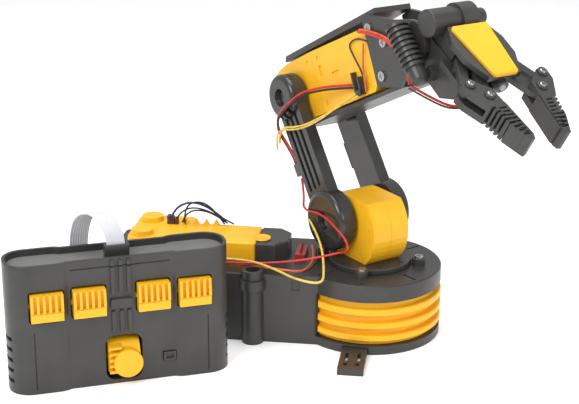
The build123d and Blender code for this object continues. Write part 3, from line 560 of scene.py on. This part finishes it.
def clip_loop(start, end, edge, side):
    """The four corners of a bar clip's section at one height above the bar's middle line."""
    near_end = [upper(start, edge, side * c) for c in (CLIP_INNER, CLIP_OUTER)]
    return near_end + [upper(end, edge, side * c) for c in (CLIP_OUTER, CLIP_INNER)]


for side, side_name, low, high, edge in ((1, "near", 41, 51, 15.6), (-1, "far", 36, 55, 13)):
    bm = bmesh.new()
    for start in (low, high - CLIP_POST):
        end = start + CLIP_POST
        add_bar(bm, clip_loop(start, end, edge, side), clip_loop(start, end, edge + 3, side))
    add_bar(bm, clip_loop(low, high, edge + 2.4, side), clip_loop(low, high, edge + 3.8, side))
    piece(f"bar_wire_clip_{side_name}", bm, BLACK, "upper_arm", smooth=False)


def add_block(bm, place, low, high):
    """A box in a link's or the table's own directions, given its two corners in that frame."""
    corners = ((low[0], low[1]), (high[0], low[1]), (high[0], high[1]), (low[0], high[1]))
    add_bar(bm, [place(x, y, low[2]) for x, y in corners], [place(x, y, high[2]) for x, y in corners])


def rounded(obj, width):
    """Rounds a block's edges with real geometry."""
    bevel = obj.modifiers.new("edges", "BEVEL")
    bevel.width = width * MM
    bevel.segments = 3
    bpy.context.view_layer.update()
    mesh = bpy.data.meshes.new_from_object(obj.evaluated_get(bpy.context.evaluated_depsgraph_get()))
    obj.modifiers.clear()
    obj.data = mesh


bm = bmesh.new()
add_block(bm, fore, (71.2, -16.8, 14.3), (72.8, -1, 18.4))
add_block(bm, fore, (76.8, -16.8, 14.3), (78.4, -5, 18.4))
add_block(bm, fore, (71.2, -16.8, 17.2), (78.4, -13, 18.4))
rounded(piece("case_wire_clip", bm, BLACK, "forearm", smooth=False), 0.35)

for index, material in enumerate((BROWN, BLACK, BROWN)):
    bm = bmesh.new()
    add_block(bm, table, (-143.2 + 2.7 * index, 14.6, 61.4), (-140.9 + 2.7 * index, 19.4, 67.6 - index))
    rounded(piece(f"housing_plug_{index + 1}", bm, material, "base", smooth=False), 0.3)

BADGE_PROFILE = [(6.2, 0), (6.2, 0.5), (5.8, 0.8), (5.2, 0.7), (5.0, 0.5), (0, 0.5)]
bm = bmesh.new()
add_lathe(bm, BADGE_PROFILE, table(-73.5, -3.5, 61.5), UP, segments=48)
piece("housing_badge", bm, YELLOW, "base")


def ribbon(name, route, width, thick, lanes):
    """Flat cable whose surface is a row of small round conductors."""
    guide = nurbs(name + "_line", route, 0)
    line = centreline(guide)
    bpy.data.objects.remove(guide)
    steps = lanes * 6
    bm = bmesh.new()
    loops = []
    for k, point in enumerate(line):
        ahead = line[min(k + 1, len(line) - 1)] - line[max(k - 1, 0)]
        face = PAD_RIGHT.cross(ahead.normalized()).normalized()
        top, under = [], []
        for step in range(steps + 1):
            place = point + PAD_RIGHT * width * (step / steps - 0.5)
            swell = thick / 2 * (0.45 + 0.55 * abs(sin(pi * step / 6)))
            top.append(bm.verts.new(place + face * swell))
            under.append(bm.verts.new(place - face * swell))
        loops.append(top + under[::-1])
    for low, high in zip(loops, loops[1:]):
        for k in range(len(low)):
            after = (k + 1) % len(low)
            bm.faces.new((low[k], low[after], high[after], high[k]))
    bm.faces.new(loops[0])
    bm.faces.new(loops[-1][::-1])
    obj = piece(name, bm, WHITE, "base")
    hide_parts("ribbon_cable")


RIBBON_ROUTE = [
    pad(PAD_MID + across, RIBBON_Y + back, height) for across, back, height in (
        (0, 0, 80.6), (0, 0, 91), (-2, 3, 100), (-9, 12, 107), (-16, 21, 102), (-18.5, 25, 92),
        (-19.5, 26.8, 80), (-20, 27.8, 68),
    )
]
ribbon("ribbon_flat", RIBBON_ROUTE, RIBBON_WIDTH * MM, 1.0 * MM, 8)


# ---------------------------------------------------------------- studio
CAMERA_AZIMUTH, CAMERA_ELEVATION, CAMERA_ROLL = 7.75, 18.92, 0.24
CAMERA_PLACE = (0.06769, -0.90310, 0.39945)
LENS_LENGTH, SENSOR_WIDTH = 88.93, 36
FLOOR_REACH = 6


def camera():
    azimuth, elevation, roll = radians(CAMERA_AZIMUTH), radians(CAMERA_ELEVATION), radians(CAMERA_ROLL)
    back = Vector((sin(azimuth) * cos(elevation), -cos(azimuth) * cos(elevation), sin(elevation)))
    right = Vector((cos(azimuth), sin(azimuth), 0))
    rise = back.cross(right)
    turned_right = right * cos(roll) + rise * sin(roll)
    turned_rise = rise * cos(roll) - right * sin(roll)
    data = bpy.data.cameras.new("camera")
    data.lens, data.sensor_width = LENS_LENGTH, SENSOR_WIDTH
    data.clip_start, data.clip_end = 0.05, 20
    obj = bpy.data.objects.new("camera", data)
    obj.matrix_world = Matrix((
        (turned_right.x, turned_rise.x, back.x, CAMERA_PLACE[0]),
        (turned_right.y, turned_rise.y, back.y, CAMERA_PLACE[1]),
        (turned_right.z, turned_rise.z, back.z, CAMERA_PLACE[2]),
        (0, 0, 0, 1),
    ))
    bpy.context.collection.objects.link(obj)
    bpy.context.scene.camera = obj


def softbox(name, place, size, energy, target=(-0.03, -0.03, 0.09)):
    data = bpy.data.lights.new(name, "AREA")
    data.shape, data.size, data.size_y = "RECTANGLE", size[0], size[1]
    data.energy = energy
    obj = bpy.data.objects.new(name, data)
    obj.location = place
    obj.rotation_euler = (Vector(place) - Vector(target)).to_track_quat("Z", "Y").to_euler()
    bpy.context.collection.objects.link(obj)


def floor():
    mesh = bpy.data.meshes.new("studio_floor")
    corners = [(x * FLOOR_REACH, y * FLOOR_REACH, 0) for x, y in ((-1, -1), (1, -1), (1, 1), (-1, 1))]
    mesh.from_pydata(corners, [], [(0, 1, 2, 3)])
    obj = bpy.data.objects.new("studio_floor", mesh)
    bpy.context.collection.objects.link(obj)
    material, bsdf, nodes, links = shader("studio_paper")
    fibre = add_noise(nodes, links, 30, 3)
    tint = add_ramp(nodes, links, fibre.outputs["Fac"], [(0.3, (0.9, 0.9, 0.9)), (0.7, (0.93, 0.93, 0.93))])
    links.new(tint.outputs["Color"], bsdf.inputs["Base Color"])
    bsdf.inputs["Roughness"].default_value = 0.7
    bsdf.inputs["Emission Color"].default_value = (1, 1, 1, 1)
    bsdf.inputs["Emission Strength"].default_value = 0.22
    obj.data.materials.append(material)


def daylight():
    """Even white surroundings, and a view transform that keeps the yellow as bright as it is."""
    world = bpy.data.worlds.new("studio")
    world.use_nodes = True
    world.node_tree.nodes["Background"].inputs["Color"].default_value = (1, 1, 1, 1)
    world.node_tree.nodes["Background"].inputs["Strength"].default_value = 0.62
    bpy.context.scene.world = world
    bpy.context.scene.view_settings.view_transform = "Standard"


camera()
floor()
daylight()
softbox("key", (-0.5, -0.9, 0.9), (0.6, 0.6), 9)
softbox("fill", (0.9, -0.6, 0.6), (0.5, 0.5), 3)
softbox("top", (0, 0.1, 1.2), (0.8, 0.8), 8)
